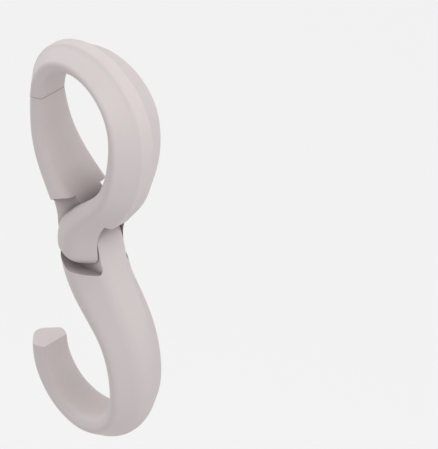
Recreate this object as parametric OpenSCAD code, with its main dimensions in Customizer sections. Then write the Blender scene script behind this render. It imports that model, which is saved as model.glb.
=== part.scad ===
// Cascading hanger hook. The main hook is one S-shaped bar: a lower hook, a neck and a
// straight post. The swing hook is forked, straddles the neck and turns on a hinge pin,
// and its free end closes on the top of the post to make a ring.
// Millimetres, +Z up. Both hooks curve in the XZ plane, and Y runs through their width.
// The origin is the seat at the inside top of the closed ring, where the part hangs.

/* [Hooks] */
// Distance from the middle plane to the crown point of each hook's centre line
hook_reach = 44.5; // [42:0.5:47]
// Distance from the middle line to the tip side of each hook
tip_offset = 14.4; // [13.4:0.2:15.4]
// Distance from the middle line to the arm side of each hook
arm_offset = 12.6; // [11.8:0.2:13.6]
// Height of both tips above or below the middle plane
tip_height = 30.4; // [29:0.2:31.6]
// Thickness of the bar at a tip, measured across the curve
tip_thickness = 5.3; // [4.8:0.1:5.8]
// Width of the bar at a tip
tip_width = 8.6; // [8:0.2:9.4]
// Thickness of the bar at the arm
arm_thickness = 6.2; // [5.6:0.1:6.8]
// Width of the bar at the arm
arm_width = 14.6; // [13.6:0.2:15.4]

/* [Hinge] */
// Diameter of the hinge pin
pin_d = 3.8; // [3:0.2:4.2]
// Radial running clearance between the pin and the bore of the main hook
pin_clearance = 0.05; // [0.02:0.01:0.08]
// Thickness of the flat tenon that the fork straddles
tenon_thickness = 6.8; // [6.2:0.2:7.2]
// Gap between the tenon and each ear of the fork
side_gap = 0.2; // [0.15:0.05:0.3]
// Radius of the shoulder that ends the post above the ears
shoulder_radius = 7.5; // [7.3:0.1:7.8]
// Radius of the pockets that the ears turn in, below the hinge
pocket_radius = 8.8; // [8.7:0.1:9.4]
// Distance from the hinge axis to the flat end of the slot in the fork
slot_depth = 8.1; // [8:0.1:8.6]

/* [Split joint] */
// Gap between the end of the swing hook and the top of the post
end_gap = 0.1; // [0.05:0.05:0.3]

/* [Hidden] */
$fn = 96;
// The hinge axis and the seat inside the ring, measured from the middle plane and line
hinge_x = -1.4;
hinge_z = 4.5;
seat_x = -1.2;
seat_z = 40.9;
// A length that cuts right through, and the pin's depth in the front ear, the room ahead
// of its tip, its back end's distance from the middle and its end chamfers
reach_past = 20;
pin_engagement = 1.9;
pin_tip_room = 0.2;
pin_back = 6.2;
pin_chamfer = 0.4;
// Share of a bar over which its section turns square to a flat end, and the powers
// and last share that round off the end of the fork
square_to_plane = 0.07;
fork_narrow_power = 0.7;
fork_thin_power = 0.5;
fork_last_share = 0.05;

// The outline across each bar: a flat inner face, short flaring sides,
// and two slanted faces that end in a narrow outer band
inner_share = 0.75;
flare_share = 0.44;
band_share_tip = 0.21;
band_share_neck = 0.4;
valley_share = 0.18;
crease_depth = 0.2;
corner_cuts = [0.3, 0.42, 0.3, 0.3];
round_cuts = [0.34, 0.5, 0.3, 0.5];
tip_cut = 0.12;
corner_steps = [4, 6, 2, 4];
middle_share = 0.5;

// Control rows of the centre lines: x, z, thickness, half width
hook_rows = [
  [-tip_offset, tip_height, tip_thickness, tip_width / 2],
  [-tip_offset + 0.5, tip_height + 5.2, tip_thickness, tip_width / 2 + 0.2],
  [-tip_offset + 5.1, hook_reach - 2.6, tip_thickness + 0.3, tip_width / 2 + 0.5],
  [-1.3, hook_reach, tip_thickness + 0.1, arm_width / 2 - 1.8],
  [arm_offset - 6.1, hook_reach - 2.4, tip_thickness + 0.2, arm_width / 2 - 1],
  [arm_offset - 1.1, hook_reach - 8.3, arm_thickness - 0.6, arm_width / 2 - 0.4],
  [arm_offset, 28, arm_thickness - 0.2, arm_width / 2]
];
fork_rows = [
  [arm_offset - 2.2, 16.3, arm_thickness + 0.3, arm_width / 2 + 0.2],
  [3.9, 9.9, 6.8, arm_width / 2 + 0.3],
  [0.6, 5.4, 10.4, arm_width / 2 + 0.2],
  [-0.2, 2.2, 11.2, arm_width / 2 + 0.2],
  [-0.2, -0.2, 11, arm_width / 2]
];
fork_end_length = 2.8;
fork_end_lean = 0.15;
// Each pocket runs out to a rounded corner at its lower right, measured from the axis
pocket_corner = [6.9, -8.2];
pocket_fillet = 0.5;
pocket_fillet_steps = 16;
slot_angle = 45;
neck_rows = [
  [arm_offset - 2.4, -16.5, arm_thickness + 0.6, arm_width / 2],
  [1.5, -7.4, 10.7, arm_width / 2 + 0.4],
  [-1.4, 0.6, 12.4, arm_width / 2 + 0.4],
  [-3.3, 6.9, 10.6, arm_width / 2 + 0.2],
  [-8.9, 13.4, 6.1, arm_width / 2 - 0.6],
  [-tip_offset + 1, 21.2, 4.4, tip_width / 2 + 1.5],
  [-tip_offset, tip_height, tip_thickness, tip_width / 2]
];
hook_steps = 52;
bar_steps = 84;
end_steps = 7;

// Stretches of each bar, as shares of its length, over which its outline changes
tip_share = 0.14;
band_grows = [0.35, 0.6];
bar_turns = [0.56, 0.8];
fork_band_grows = [0.5, 1];
crease_fades = [0.4, 0.65];

// A uniform cubic B-spline that starts and ends on its first and last rows
function padded(rows) =
  let (last = len(rows) - 1)
  concat([2 * rows[0] - rows[1]], rows, [2 * rows[last] - rows[last - 1]]);
function span_of(rows, u) = min(floor(u * (len(rows) - 1)), len(rows) - 2);
function spline_at(rows, u) =
  let (p = padded(rows), i = span_of(rows, u), f = u * (len(rows) - 1) - i)
  (p[i] * pow(1 - f, 3)
    + p[i + 1] * (3 * pow(f, 3) - 6 * pow(f, 2) + 4)
    + p[i + 2] * (-3 * pow(f, 3) + 3 * pow(f, 2) + 3 * f + 1)
    + p[i + 3] * pow(f, 3)) / 6;
function slope_at(rows, u) =
  let (p = padded(rows), i = span_of(rows, u), f = u * (len(rows) - 1) - i)
  -p[i] * pow(1 - f, 2) + p[i + 1] * (3 * pow(f, 2) - 4 * f)
    + p[i + 2] * (-3 * pow(f, 2) + 2 * f + 1) + p[i + 3] * pow(f, 2);

function mix(a, b, m) = a * (1 - m) + b * m;
function ramp(x, low, high) = min(max((x - low) / (high - low), 0), 1);
function ease(m) = m * m * (3 - 2 * m);
function unit(v) = v / norm(v);
function reversed(list) = [for (i = [len(list) - 1:-1:0]) list[i]];
function flipped(list) = [for (p = list) [-p[0], p[1]]];

// Corners of half the outline, as [across the curve, along Y], from inner to outer face
function half_corners(thick, half_w, band, valley, crease) =
  let (inner = -thick / 2, outer = thick / 2, flare = inner + flare_share * thick)
  [
    [inner, inner_share * half_w],
    [flare, half_w],
    [mix(outer, flare, valley) - crease, mix(band, 1, valley) * half_w],
    [outer, band * half_w]
  ];

// A corner drawn as a short curve that starts and ends on the two edges beside it
function corner_curve(before, corner, after, cut, steps) =
  let (
    reach = cut * min(norm(before - corner), norm(after - corner)),
    a = corner + unit(before - corner) * reach,
    b = corner + unit(after - corner) * reach
  )
  [for (i = [0:steps]) mix(mix(a, corner, i / steps), mix(corner, b, i / steps), i / steps)];

// The inner corner is crisp at a tip and softer along the bar
function cuts_at(cuts, blunt) = [mix(tip_cut, cuts[0], blunt), cuts[1], cuts[2], cuts[3]];

function outline(half, cuts) =
  let (
    corners = concat(half, [for (p = reversed(half)) [p[0], -p[1]]]),
    all_cuts = concat(cuts, reversed(cuts)),
    all_steps = concat(corner_steps, reversed(corner_steps)),
    n = len(corners)
  )
  [
    for (i = [0:n - 1])
      each corner_curve(corners[(i + n - 1) % n], corners[i], corners[(i + 1) % n],
        all_cuts[i], all_steps[i])
  ];

// The direction across a bar, square to its centre line. Both ends of the main hook and
// the tip of the swing hook are flat faces, so there it eases into the X axis.
function across(slope, start_share) =
  unit(mix([-1, 0], unit([slope[1], -slope[0]]), start_share));
function across_post(slope, start_share, finish_share) =
  unit(mix([1, 0], across(slope, start_share), finish_share));

// One ring of a bar: the outline set on a control row, along the direction across
function ring(row, n, shape) =
  [for (p = shape) [row[0] + n[0] * p[0], p[1], row[1] + n[1] * p[0]]];

function mirrored_rows(rows) = [for (r = rows) [r[0], -r[1], r[2], r[3]]];

main_rows = concat(mirrored_rows(hook_rows), neck_rows);
main_rings = [
  for (i = [0:bar_steps])
    let (
      u = i / bar_steps,
      row = spline_at(main_rows, u),
      n = across_post(slope_at(main_rows, u), ramp(u, 0, square_to_plane),
        ramp(1 - u, 0, square_to_plane)),
      grown = ramp(u, band_grows[0], band_grows[1]) - ramp(u, band_grows[1], 1),
      half = half_corners(row[2], row[3], mix(band_share_tip, band_share_neck, grown),
        middle_share, 0),
      turned = ease(ramp(u, bar_turns[0], bar_turns[1])),
      corners = mix(half, flipped(reversed(half)), turned),
      along_cuts = cuts_at(round_cuts, ramp(u, 0, tip_share) * ramp(1 - u, 0, tip_share)),
      cuts = mix(along_cuts, reversed(along_cuts), turned)
    )
    ring(row, n, outline(corners, cuts))
];

// The swing hook is the lower hook mirrored, with the fork in place of the neck
swing_rows = concat(mirrored_rows(hook_rows), mirrored_rows(fork_rows));
function swing_shape(u, row) =
  let (
    grown = ramp(u, fork_band_grows[0], fork_band_grows[1]),
    band = mix(band_share_tip, band_share_neck, grown),
    crease = crease_depth * (1 - ramp(u, crease_fades[0], crease_fades[1]))
  )
  outline(half_corners(row[2], row[3], band, valley_share, crease),
    cuts_at(corner_cuts, ramp(u, 0, tip_share)));
fork_end = spline_at(swing_rows, 1);
fork_slope = slope_at(swing_rows, 1);
fork_dir = unit([fork_slope[0], fork_slope[1]]);
swing_rings = concat(
  [
    for (i = [0:hook_steps])
      let (u = i / hook_steps, row = spline_at(swing_rows, u))
      ring(row, across(slope_at(swing_rows, u), ramp(u, 0, square_to_plane)),
        swing_shape(u, row))
  ],
  [
    for (i = [1:end_steps])
      let (
        turn = 90 * i / end_steps,
        narrow = max(pow(cos(turn), fork_narrow_power), fork_last_share),
        thin = max(pow(cos(turn), fork_thin_power), fork_last_share),
        along = fork_end_length * sin(turn),
        lean = fork_end_lean * fork_end[2] * (1 - narrow)
      )
      ring([fork_end[0], fork_end[1]] + fork_dir * along, [fork_dir[1], -fork_dir[0]],
        [for (p = swing_shape(1, fork_end)) [p[0] * narrow + lean, p[1] * thin]])
  ]
);

// A closed solid through a list of rings with equal counts of points
module loft(rings) {
  n = len(rings);
  k = len(rings[0]);
  polyhedron(
    points = [for (r = rings) each r],
    faces = concat(
      [[for (j = [k - 1:-1:0]) j]],
      [
        for (i = [0:n - 2], j = [0:k - 1])
          each [
            [i * k + j, (i + 1) * k + (j + 1) % k, (i + 1) * k + j],
            [i * k + j, i * k + (j + 1) % k, (i + 1) * k + (j + 1) % k]
          ]
      ],
      [[for (j = [0:k - 1]) (n - 1) * k + j]]
    )
  );
}

// Puts a shape that is drawn about the hook's middle plane into the part's frame
module placed() {
  translate([-seat_x, 0, -seat_z]) children();
}

// Puts a shape that stands along +Z on the hinge axis, pointing to -Y
module on_hinge() {
  translate([hinge_x, 0, hinge_z]) rotate([90, 0, 0]) children();
}

// One front pocket: a round wall at the shoulder, and below the hinge a larger round
// pocket that runs on to a corner
module pocket() {
  on_hinge() translate([0, 0, tenon_thickness / 2]) {
    cylinder(r = shoulder_radius, h = reach_past);
    rotate([0, 0, 180]) rotate_extrude(angle = 180) square([pocket_radius, reach_past]);
    linear_extrude(reach_past)
      offset(r = pocket_fillet, $fn = pocket_fillet_steps) offset(delta = -pocket_fillet)
      polygon([[0, 0], [0, -pocket_radius], pocket_corner, [pocket_corner[0], 0]]);
  }
}

module main_hook() {
  color([0.83, 0.8, 0.79])
    placed() difference() {
      loft(main_rings);
      pocket();
      mirror([0, 1, 0]) pocket();
      on_hinge() cylinder(d = pin_d + 2 * pin_clearance, h = reach_past, center = true);
    }
}

// The back ear is bored through to take the pin, and the front ear is bored blind
module swing_hook() {
  ear_inner = tenon_thickness / 2 + side_gap;
  color([0.85, 0.82, 0.81])
    placed() difference() {
      mirror([0, 0, 1]) loft(swing_rings);
      on_hinge() {
        rotate([0, 0, slot_angle])
          translate([slot_depth - 2 * reach_past, -reach_past, -ear_inner])
          cube([2 * reach_past, 2 * reach_past, 2 * ear_inner]);
        translate([0, 0, -reach_past])
          cylinder(d = pin_d, h = reach_past + ear_inner + pin_engagement);
      }
      translate([-tip_offset - tip_thickness, -tip_width, tip_height - tip_thickness])
        cube([2 * tip_thickness, 2 * tip_width, tip_thickness + end_gap]);
    }
}

module hinge_pin() {
  front = tenon_thickness / 2 + side_gap + pin_engagement - pin_tip_room;
  r = pin_d / 2;
  color([0.72, 0.73, 0.75])
    placed() on_hinge() rotate_extrude()
      polygon([
        [0, -pin_back], [r - pin_chamfer, -pin_back], [r, pin_chamfer - pin_back],
        [r, front - pin_chamfer], [r - pin_chamfer, front], [0, front]
      ]);
}

main_hook();
swing_hook();
hinge_pin();
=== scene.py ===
# Cascading hanger hook, dressed and lit. Metres, in the part's own frame: the origin is
# the seat at the top of the closed ring, +Z is up and Y runs along the hinge pin.
import math

import bpy
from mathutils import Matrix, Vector


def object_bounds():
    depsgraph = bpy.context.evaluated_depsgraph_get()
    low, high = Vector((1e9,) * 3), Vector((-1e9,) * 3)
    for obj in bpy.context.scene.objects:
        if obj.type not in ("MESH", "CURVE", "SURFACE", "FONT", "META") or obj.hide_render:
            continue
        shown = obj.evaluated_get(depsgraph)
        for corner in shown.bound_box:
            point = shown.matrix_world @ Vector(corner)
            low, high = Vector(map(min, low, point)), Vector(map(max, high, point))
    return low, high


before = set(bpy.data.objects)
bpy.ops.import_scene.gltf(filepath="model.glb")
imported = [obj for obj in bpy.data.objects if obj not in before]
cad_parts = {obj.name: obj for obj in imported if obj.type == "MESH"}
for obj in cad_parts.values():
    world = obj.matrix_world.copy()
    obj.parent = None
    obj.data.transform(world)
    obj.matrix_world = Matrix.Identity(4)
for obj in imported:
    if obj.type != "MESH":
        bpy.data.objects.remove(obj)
cad_box = [list(corner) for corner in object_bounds()]

# Main hook: the S-shaped bar with the lower hook, the flat tenon and the post.
# It is one injection moulding in warm grey polypropylene, a waxy plastic that a
# spark-eroded mould leaves matt, with no gloss line on its long curves.
MM = 0.001


def linear(srgb_hex):
    """An sRGB hex colour as linear RGBA."""
    channels = [int(srgb_hex[i:i + 2], 16) / 255 for i in (1, 3, 5)]
    return [c / 12.92 if c <= 0.04045 else ((c + 0.055) / 1.055) ** 2.4
            for c in channels] + [1.0]


def add_node(tree, kind, settings=None, sockets=None, links=None):
    """Adds a node, sets its properties and input values, and links its inputs."""
    node = tree.nodes.new(kind)
    for name, value in (settings or {}).items():
        setattr(node, name, value)
    for name, value in (sockets or {}).items():
        node.inputs[name].default_value = value
    for name, source in (links or {}).items():
        tree.links.new(source, node.inputs[name])
    return node


def empty_material(name):
    """A node material with nothing in it yet."""
    material = bpy.data.materials.new(name)
    material.use_nodes = True
    material.node_tree.nodes.clear()
    return material


def smooth_mould(weld, real_edge):
    """Welds the facets of a moulding and shades it smooth up to its real edges."""
    group = bpy.data.node_groups.new("smooth_mould", "GeometryNodeTree")
    for side in ("INPUT", "OUTPUT"):
        group.interface.new_socket("Geometry", in_out=side, socket_type="NodeSocketGeometry")
    given = add_node(group, "NodeGroupInput")
    welded = add_node(group, "GeometryNodeMergeByDistance", sockets={"Distance": weld},
                      links={"Geometry": given.outputs["Geometry"]})
    fold = add_node(group, "GeometryNodeInputMeshEdgeAngle")
    edge = add_node(group, "FunctionNodeCompare", {"operation": "GREATER_THAN"},
                    {"B": real_edge}, {"A": fold.outputs["Unsigned Angle"]})
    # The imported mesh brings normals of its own, which give way to the smooth ones
    shaded = add_node(group, "GeometryNodeSetMeshNormal", {"mode": "SHARPNESS"},
                      {"Remove Custom": True, "Face Sharpness": False},
                      {"Mesh": welded.outputs["Geometry"],
                       "Edge Sharpness": edge.outputs["Result"]})
    add_node(group, "NodeGroupOutput", links={"Geometry": shaded.outputs["Mesh"]})
    return group


def matt_plastic(name, base, cloud, painted_hollow_shade, painted_gap_shade, ior, roughness):
    """A solid plastic with a fine grain, slow clouds, broken edges and painted shade in
    hollows and gaps.
    """
    grain_pitch = 0.35 * MM      # the real grain is 0.05 mm, too fine to show here
    grain_depth = 0.012 * MM
    grain_relief = 0.35          # share of the grain's depth that still shows
    grain_swing = 0.05           # how far the grain moves the roughness up and down
    pits, peaks = 0.3, 0.7       # nearly all of the grain's noise lies between these
    flow_pitch = 9 * MM          # where the melt slowed down and cooled
    edge_radius = 0.08 * MM      # what tumbling and handling leave of a sharp edge
    hollow_shade_reach = 9 * MM        # painted shade: the colour darkens where the part is shut in within this reach
    hollow_shade_from, most_hollow_shade = 0.45, 0.69
    gap_shade_reach = 1 * MM          # and a darker painted shade fills narrow gaps within this reach
    gap_shade_from, gap_shade_to, most_gap_shade = 0.5, 0.1, 0.8
    waxy_gloss = 0.3             # a waxy face gives back less than a polished one
    material = empty_material(name)
    tree = material.node_tree
    place = add_node(tree, "ShaderNodeTexCoord").outputs["Object"]

    # Colour: clouds of the melt, then painted shade by how shut in a place is, then darker
    # painted shade in gaps
    flow = add_node(tree, "ShaderNodeTexNoise",
                    sockets={"Scale": 1 / flow_pitch, "Detail": 3.0, "Roughness": 0.55},
                    links={"Vector": place})
    clouded = add_node(tree, "ShaderNodeMix", {"data_type": "RGBA"},
                       {"A": linear(base), "B": linear(cloud)},
                       {"Factor": flow.outputs["Fac"]})
    hollow_occlusion = add_node(tree, "ShaderNodeAmbientOcclusion", {"samples": 8},
                      {"Distance": hollow_shade_reach})
    hollow_shade_share = add_node(tree, "ShaderNodeMapRange",
                          sockets={"From Min": hollow_shade_from, "From Max": 1.0,
                                   "To Min": most_hollow_shade, "To Max": 0.0},
                          links={"Value": hollow_occlusion.outputs["AO"]})
    with_hollow_shade = add_node(tree, "ShaderNodeMix", {"data_type": "RGBA"}, {"B": linear(painted_hollow_shade)},
                     {"Factor": hollow_shade_share.outputs["Result"],
                      "A": clouded.outputs["Result"]})
    gap_occlusion = add_node(tree, "ShaderNodeAmbientOcclusion", {"samples": 8},
                    {"Distance": gap_shade_reach})
    gap_shade_share = add_node(tree, "ShaderNodeMapRange",
                           sockets={"From Min": gap_shade_to, "From Max": gap_shade_from,
                                    "To Min": most_gap_shade, "To Max": 0.0},
                           links={"Value": gap_occlusion.outputs["AO"]})
    colour = add_node(tree, "ShaderNodeMix", {"data_type": "RGBA"}, {"B": linear(painted_gap_shade)},
                      {"Factor": gap_shade_share.outputs["Result"],
                       "A": with_hollow_shade.outputs["Result"]})

    # Surface: the fine grain, in the roughness and in the relief over broken edges
    grain = add_node(tree, "ShaderNodeTexNoise",
                     sockets={"Scale": 1 / grain_pitch, "Detail": 4.0, "Roughness": 0.6},
                     links={"Vector": place})
    matt = add_node(tree, "ShaderNodeMapRange",
                    sockets={"From Min": pits, "From Max": peaks,
                             "To Min": roughness - grain_swing,
                             "To Max": roughness + grain_swing},
                    links={"Value": grain.outputs["Fac"]})
    broken_edge = add_node(tree, "ShaderNodeBevel", {"samples": 8}, {"Radius": edge_radius})
    relief = add_node(tree, "ShaderNodeBump",
                      sockets={"Strength": grain_relief, "Distance": grain_depth},
                      links={"Height": grain.outputs["Fac"],
                             "Normal": broken_edge.outputs["Normal"]})
    shader = add_node(tree, "ShaderNodeBsdfPrincipled",
                      sockets={"IOR": ior, "Specular IOR Level": waxy_gloss},
                      links={"Base Color": colour.outputs["Result"],
                             "Roughness": matt.outputs["Result"],
                             "Normal": relief.outputs["Normal"]})
    add_node(tree, "ShaderNodeOutputMaterial", links={"Surface": shader.outputs["BSDF"]})
    return material


def dress(node_name, material):
    """Gives a CAD node its material and smooth faces with clean edges."""
    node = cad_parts[node_name]
    node.data.materials.clear()
    node.data.materials.append(material)
    node.modifiers.new("smooth_mould", "NODES").node_group = mould_shading


# The facets of a curve meet at less than this angle, and real edges at more
mould_shading = smooth_mould(weld=0.002 * MM, real_edge=math.radians(32))
# Its two dark colours are painted shade: the first for hollows, the second for narrow gaps
grey_polypropylene = matt_plastic("spark_eroded_polypropylene", base="#D9D0D0",
                                  cloud="#D5CBCB", painted_hollow_shade="#6E6462", painted_gap_shade="#3A3230",
                                  ior=1.49, roughness=0.5)
dress("main_hook", grey_polypropylene)

# Swing hook: the upper hook, whose forked end grips the tenon like a clip.
# It is the second moulding, of the same grey polypropylene and from a like mould.
dress("swing_hook", grey_polypropylene)

# Hinge pin: a plain pin turned from natural acetal, pressed into the fork from behind.
# The bare acetal is whiter than the hooks, and its cut face has a little more gloss.
# Its two dark colours are painted shade, for hollows and for narrow gaps, as on the hooks
natural_acetal = matt_plastic("turned_natural_acetal", base="#D6D2CC", cloud="#D2CEC8",
                              painted_hollow_shade="#6E6A64", painted_gap_shade="#3A3230", ior=1.48, roughness=0.36)
dress("hinge_pin", natural_acetal)

# Floor: one large pale sheet, well below the hanging hook, so that its shadow is wide
# and faint. To the camera it has the pale grey of the backdrop, and further out it runs
# into it without a horizon. From below it doesn't hide the hook.
scene = bpy.context.scene
PALE = "#F2F2F2"
floor_level = cad_box[0][2] - 160 * MM
floor_half = 6.0
lifted_share = 0.58          # of white, which brings the lit sheet up to PALE
shadow_reach = 0.4           # from the hook, and no shadow shows beyond it
horizon = 1.6                # from the hook, where only the backdrop's grey is left
floor_mesh = bpy.data.meshes.new("floor")
floor_mesh.from_pydata([(x * floor_half, y * floor_half, floor_level)
                        for x, y in ((-1, -1), (1, -1), (1, 1), (-1, 1))],
                       [], [(0, 1, 2, 3)])
floor = bpy.data.objects.new("floor", floor_mesh)
scene.collection.objects.link(floor)
pale_sheet = empty_material("pale_matt_sheet")
tree = pale_sheet.node_tree
path = add_node(tree, "ShaderNodeLightPath")
matt_face = add_node(tree, "ShaderNodeBsdfDiffuse", sockets={"Color": linear(PALE)})
white = add_node(tree, "ShaderNodeEmission", sockets={"Strength": 1.0})
lift = add_node(tree, "ShaderNodeMath", {"operation": "MULTIPLY"}, {1: lifted_share},
                {0: path.outputs["Is Camera Ray"]})
near_face = add_node(tree, "ShaderNodeMixShader", links={
    0: lift.outputs["Value"], 1: matt_face.outputs["BSDF"], 2: white.outputs["Emission"]})
place = add_node(tree, "ShaderNodeTexCoord")
from_hook = add_node(tree, "ShaderNodeVectorMath", {"operation": "LENGTH"}, links={
    0: place.outputs["Object"]})
far_out = add_node(tree, "ShaderNodeMapRange", {"interpolation_type": "SMOOTHSTEP"},
                   {"From Min": shadow_reach, "From Max": horizon},
                   {"Value": from_hook.outputs["Value"],
                    "To Max": path.outputs["Is Camera Ray"]})
haze = add_node(tree, "ShaderNodeEmission", sockets={"Color": linear(PALE), "Strength": 1.0})
top_face = add_node(tree, "ShaderNodeMixShader", links={
    0: far_out.outputs["Result"], 1: near_face.outputs["Shader"], 2: haze.outputs["Emission"]})
side = add_node(tree, "ShaderNodeNewGeometry")
clear = add_node(tree, "ShaderNodeBsdfTransparent")
one_sided = add_node(tree, "ShaderNodeMixShader", links={
    0: side.outputs["Backfacing"], 1: top_face.outputs["Shader"], 2: clear.outputs["BSDF"]})
add_node(tree, "ShaderNodeOutputMaterial", links={"Surface": one_sided.outputs["Shader"]})
floor_mesh.materials.append(pale_sheet)

# Backdrop: the camera and the plastic's faint gloss see the same pale grey all round,
# and as even light it gives half the strength of white.
world = bpy.data.worlds.new("studio")
scene.world = world
world.use_nodes = True
tree = world.node_tree
tree.nodes.clear()
path = add_node(tree, "ShaderNodeLightPath")
fill = add_node(tree, "ShaderNodeBackground", sockets={"Color": linear("#FFFFFF"),
                                                       "Strength": 0.508})
seen = add_node(tree, "ShaderNodeBackground", sockets={"Color": linear(PALE),
                                                       "Strength": 1.0})
in_view = add_node(tree, "ShaderNodeMath", {"operation": "MAXIMUM"}, links={
    0: path.outputs["Is Camera Ray"], 1: path.outputs["Is Glossy Ray"]})
backdrop = add_node(tree, "ShaderNodeMixShader", links={
    0: in_view.outputs["Value"], 1: fill.outputs["Background"],
    2: seen.outputs["Background"]})
add_node(tree, "ShaderNodeOutputWorld", links={"Surface": backdrop.outputs["Shader"]})


# Lamps: square soft boxes round the part. Five stand well off. Two small ones are held
# close to the upper hook, so that it is lit a little more than the lower one.
def soft_box(name, azimuth, elevation, watts, distance, size, aim):
    """A square lamp at an azimuth from +X and an elevation, seen from where it aims."""
    lamp = bpy.data.lights.new(name, "AREA")
    lamp.shape = "SQUARE"
    lamp.size = size
    lamp.energy = watts
    holder = bpy.data.objects.new(name, lamp)
    a, e = math.radians(azimuth), math.radians(elevation)
    towards = Vector((math.cos(a) * math.cos(e), math.sin(a) * math.cos(e), math.sin(e)))
    holder.location = aim + towards * distance
    holder.rotation_mode = "QUATERNION"
    holder.rotation_quaternion = (-towards).to_track_quat("-Z", "Y")
    holder.visible_camera = False
    scene.collection.objects.link(holder)


part_middle = Vector((0, 0, (cad_box[0][2] + cad_box[1][2]) / 2))
ring_top = Vector((0, 0, 0))
for name, azimuth, elevation, watts in (
        ("low_right_back", 45, 8, 1.45),
        ("high_back", 135, 42, 0.71),
        ("high_left", 180, 42, 2.98),
        ("high_front", 315, 42, 2.05),
        ("overhead", 0, 90, 1.02)):
    soft_box(name, azimuth, elevation, watts, distance=1.2, size=0.7, aim=part_middle)
for name, azimuth, elevation, watts in (
        ("near_left", 180, 8, 0.064),
        ("near_right", 0, 42, 0.126)):
    soft_box(name, azimuth, elevation, watts, distance=0.2, size=0.12, aim=ring_top)

# Camera: the plain isometric direction of the photograph, from the front right and
# above. A very long lens stands in for its parallel view.
PHOTO_LONG_SIDE_PX = 449
MM_PER_PIXEL = 0.2
azimuth = math.radians(45)
elevation = math.atan(1 / math.sqrt(2))
back = Vector((math.sin(azimuth) * math.cos(elevation),
               -math.cos(azimuth) * math.cos(elevation), math.sin(elevation)))
right = Vector((math.cos(azimuth), math.sin(azimuth), 0))
up = back.cross(right)
# This point, halfway down the hook, is seen at this pixel of the photograph, and the
# camera aims at the photograph's own middle
halfway = Vector((1.2, 0, -40.9)) * MM
halfway_px = (95.41, 241.6)
centre_px = (219.0, 224.5)
target = (halfway + right * (centre_px[0] - halfway_px[0]) * MM_PER_PIXEL * MM
          - up * (centre_px[1] - halfway_px[1]) * MM_PER_PIXEL * MM)
camera_data = bpy.data.cameras.new("camera")
camera_data.lens = 1000.0
camera_data.sensor_width = 36.0
distance = (PHOTO_LONG_SIDE_PX * MM_PER_PIXEL * MM * camera_data.lens
            / camera_data.sensor_width)
camera_data.clip_start = distance * 0.1
camera_data.clip_end = distance * 10
camera = bpy.data.objects.new("camera", camera_data)
scene.collection.objects.link(camera)
camera.rotation_mode = "QUATERNION"
camera.rotation_quaternion = (-back).to_track_quat("-Z", "Y")
camera.location = target + back * distance
scene.camera = camera
scene.view_settings.view_transform = "Standard"
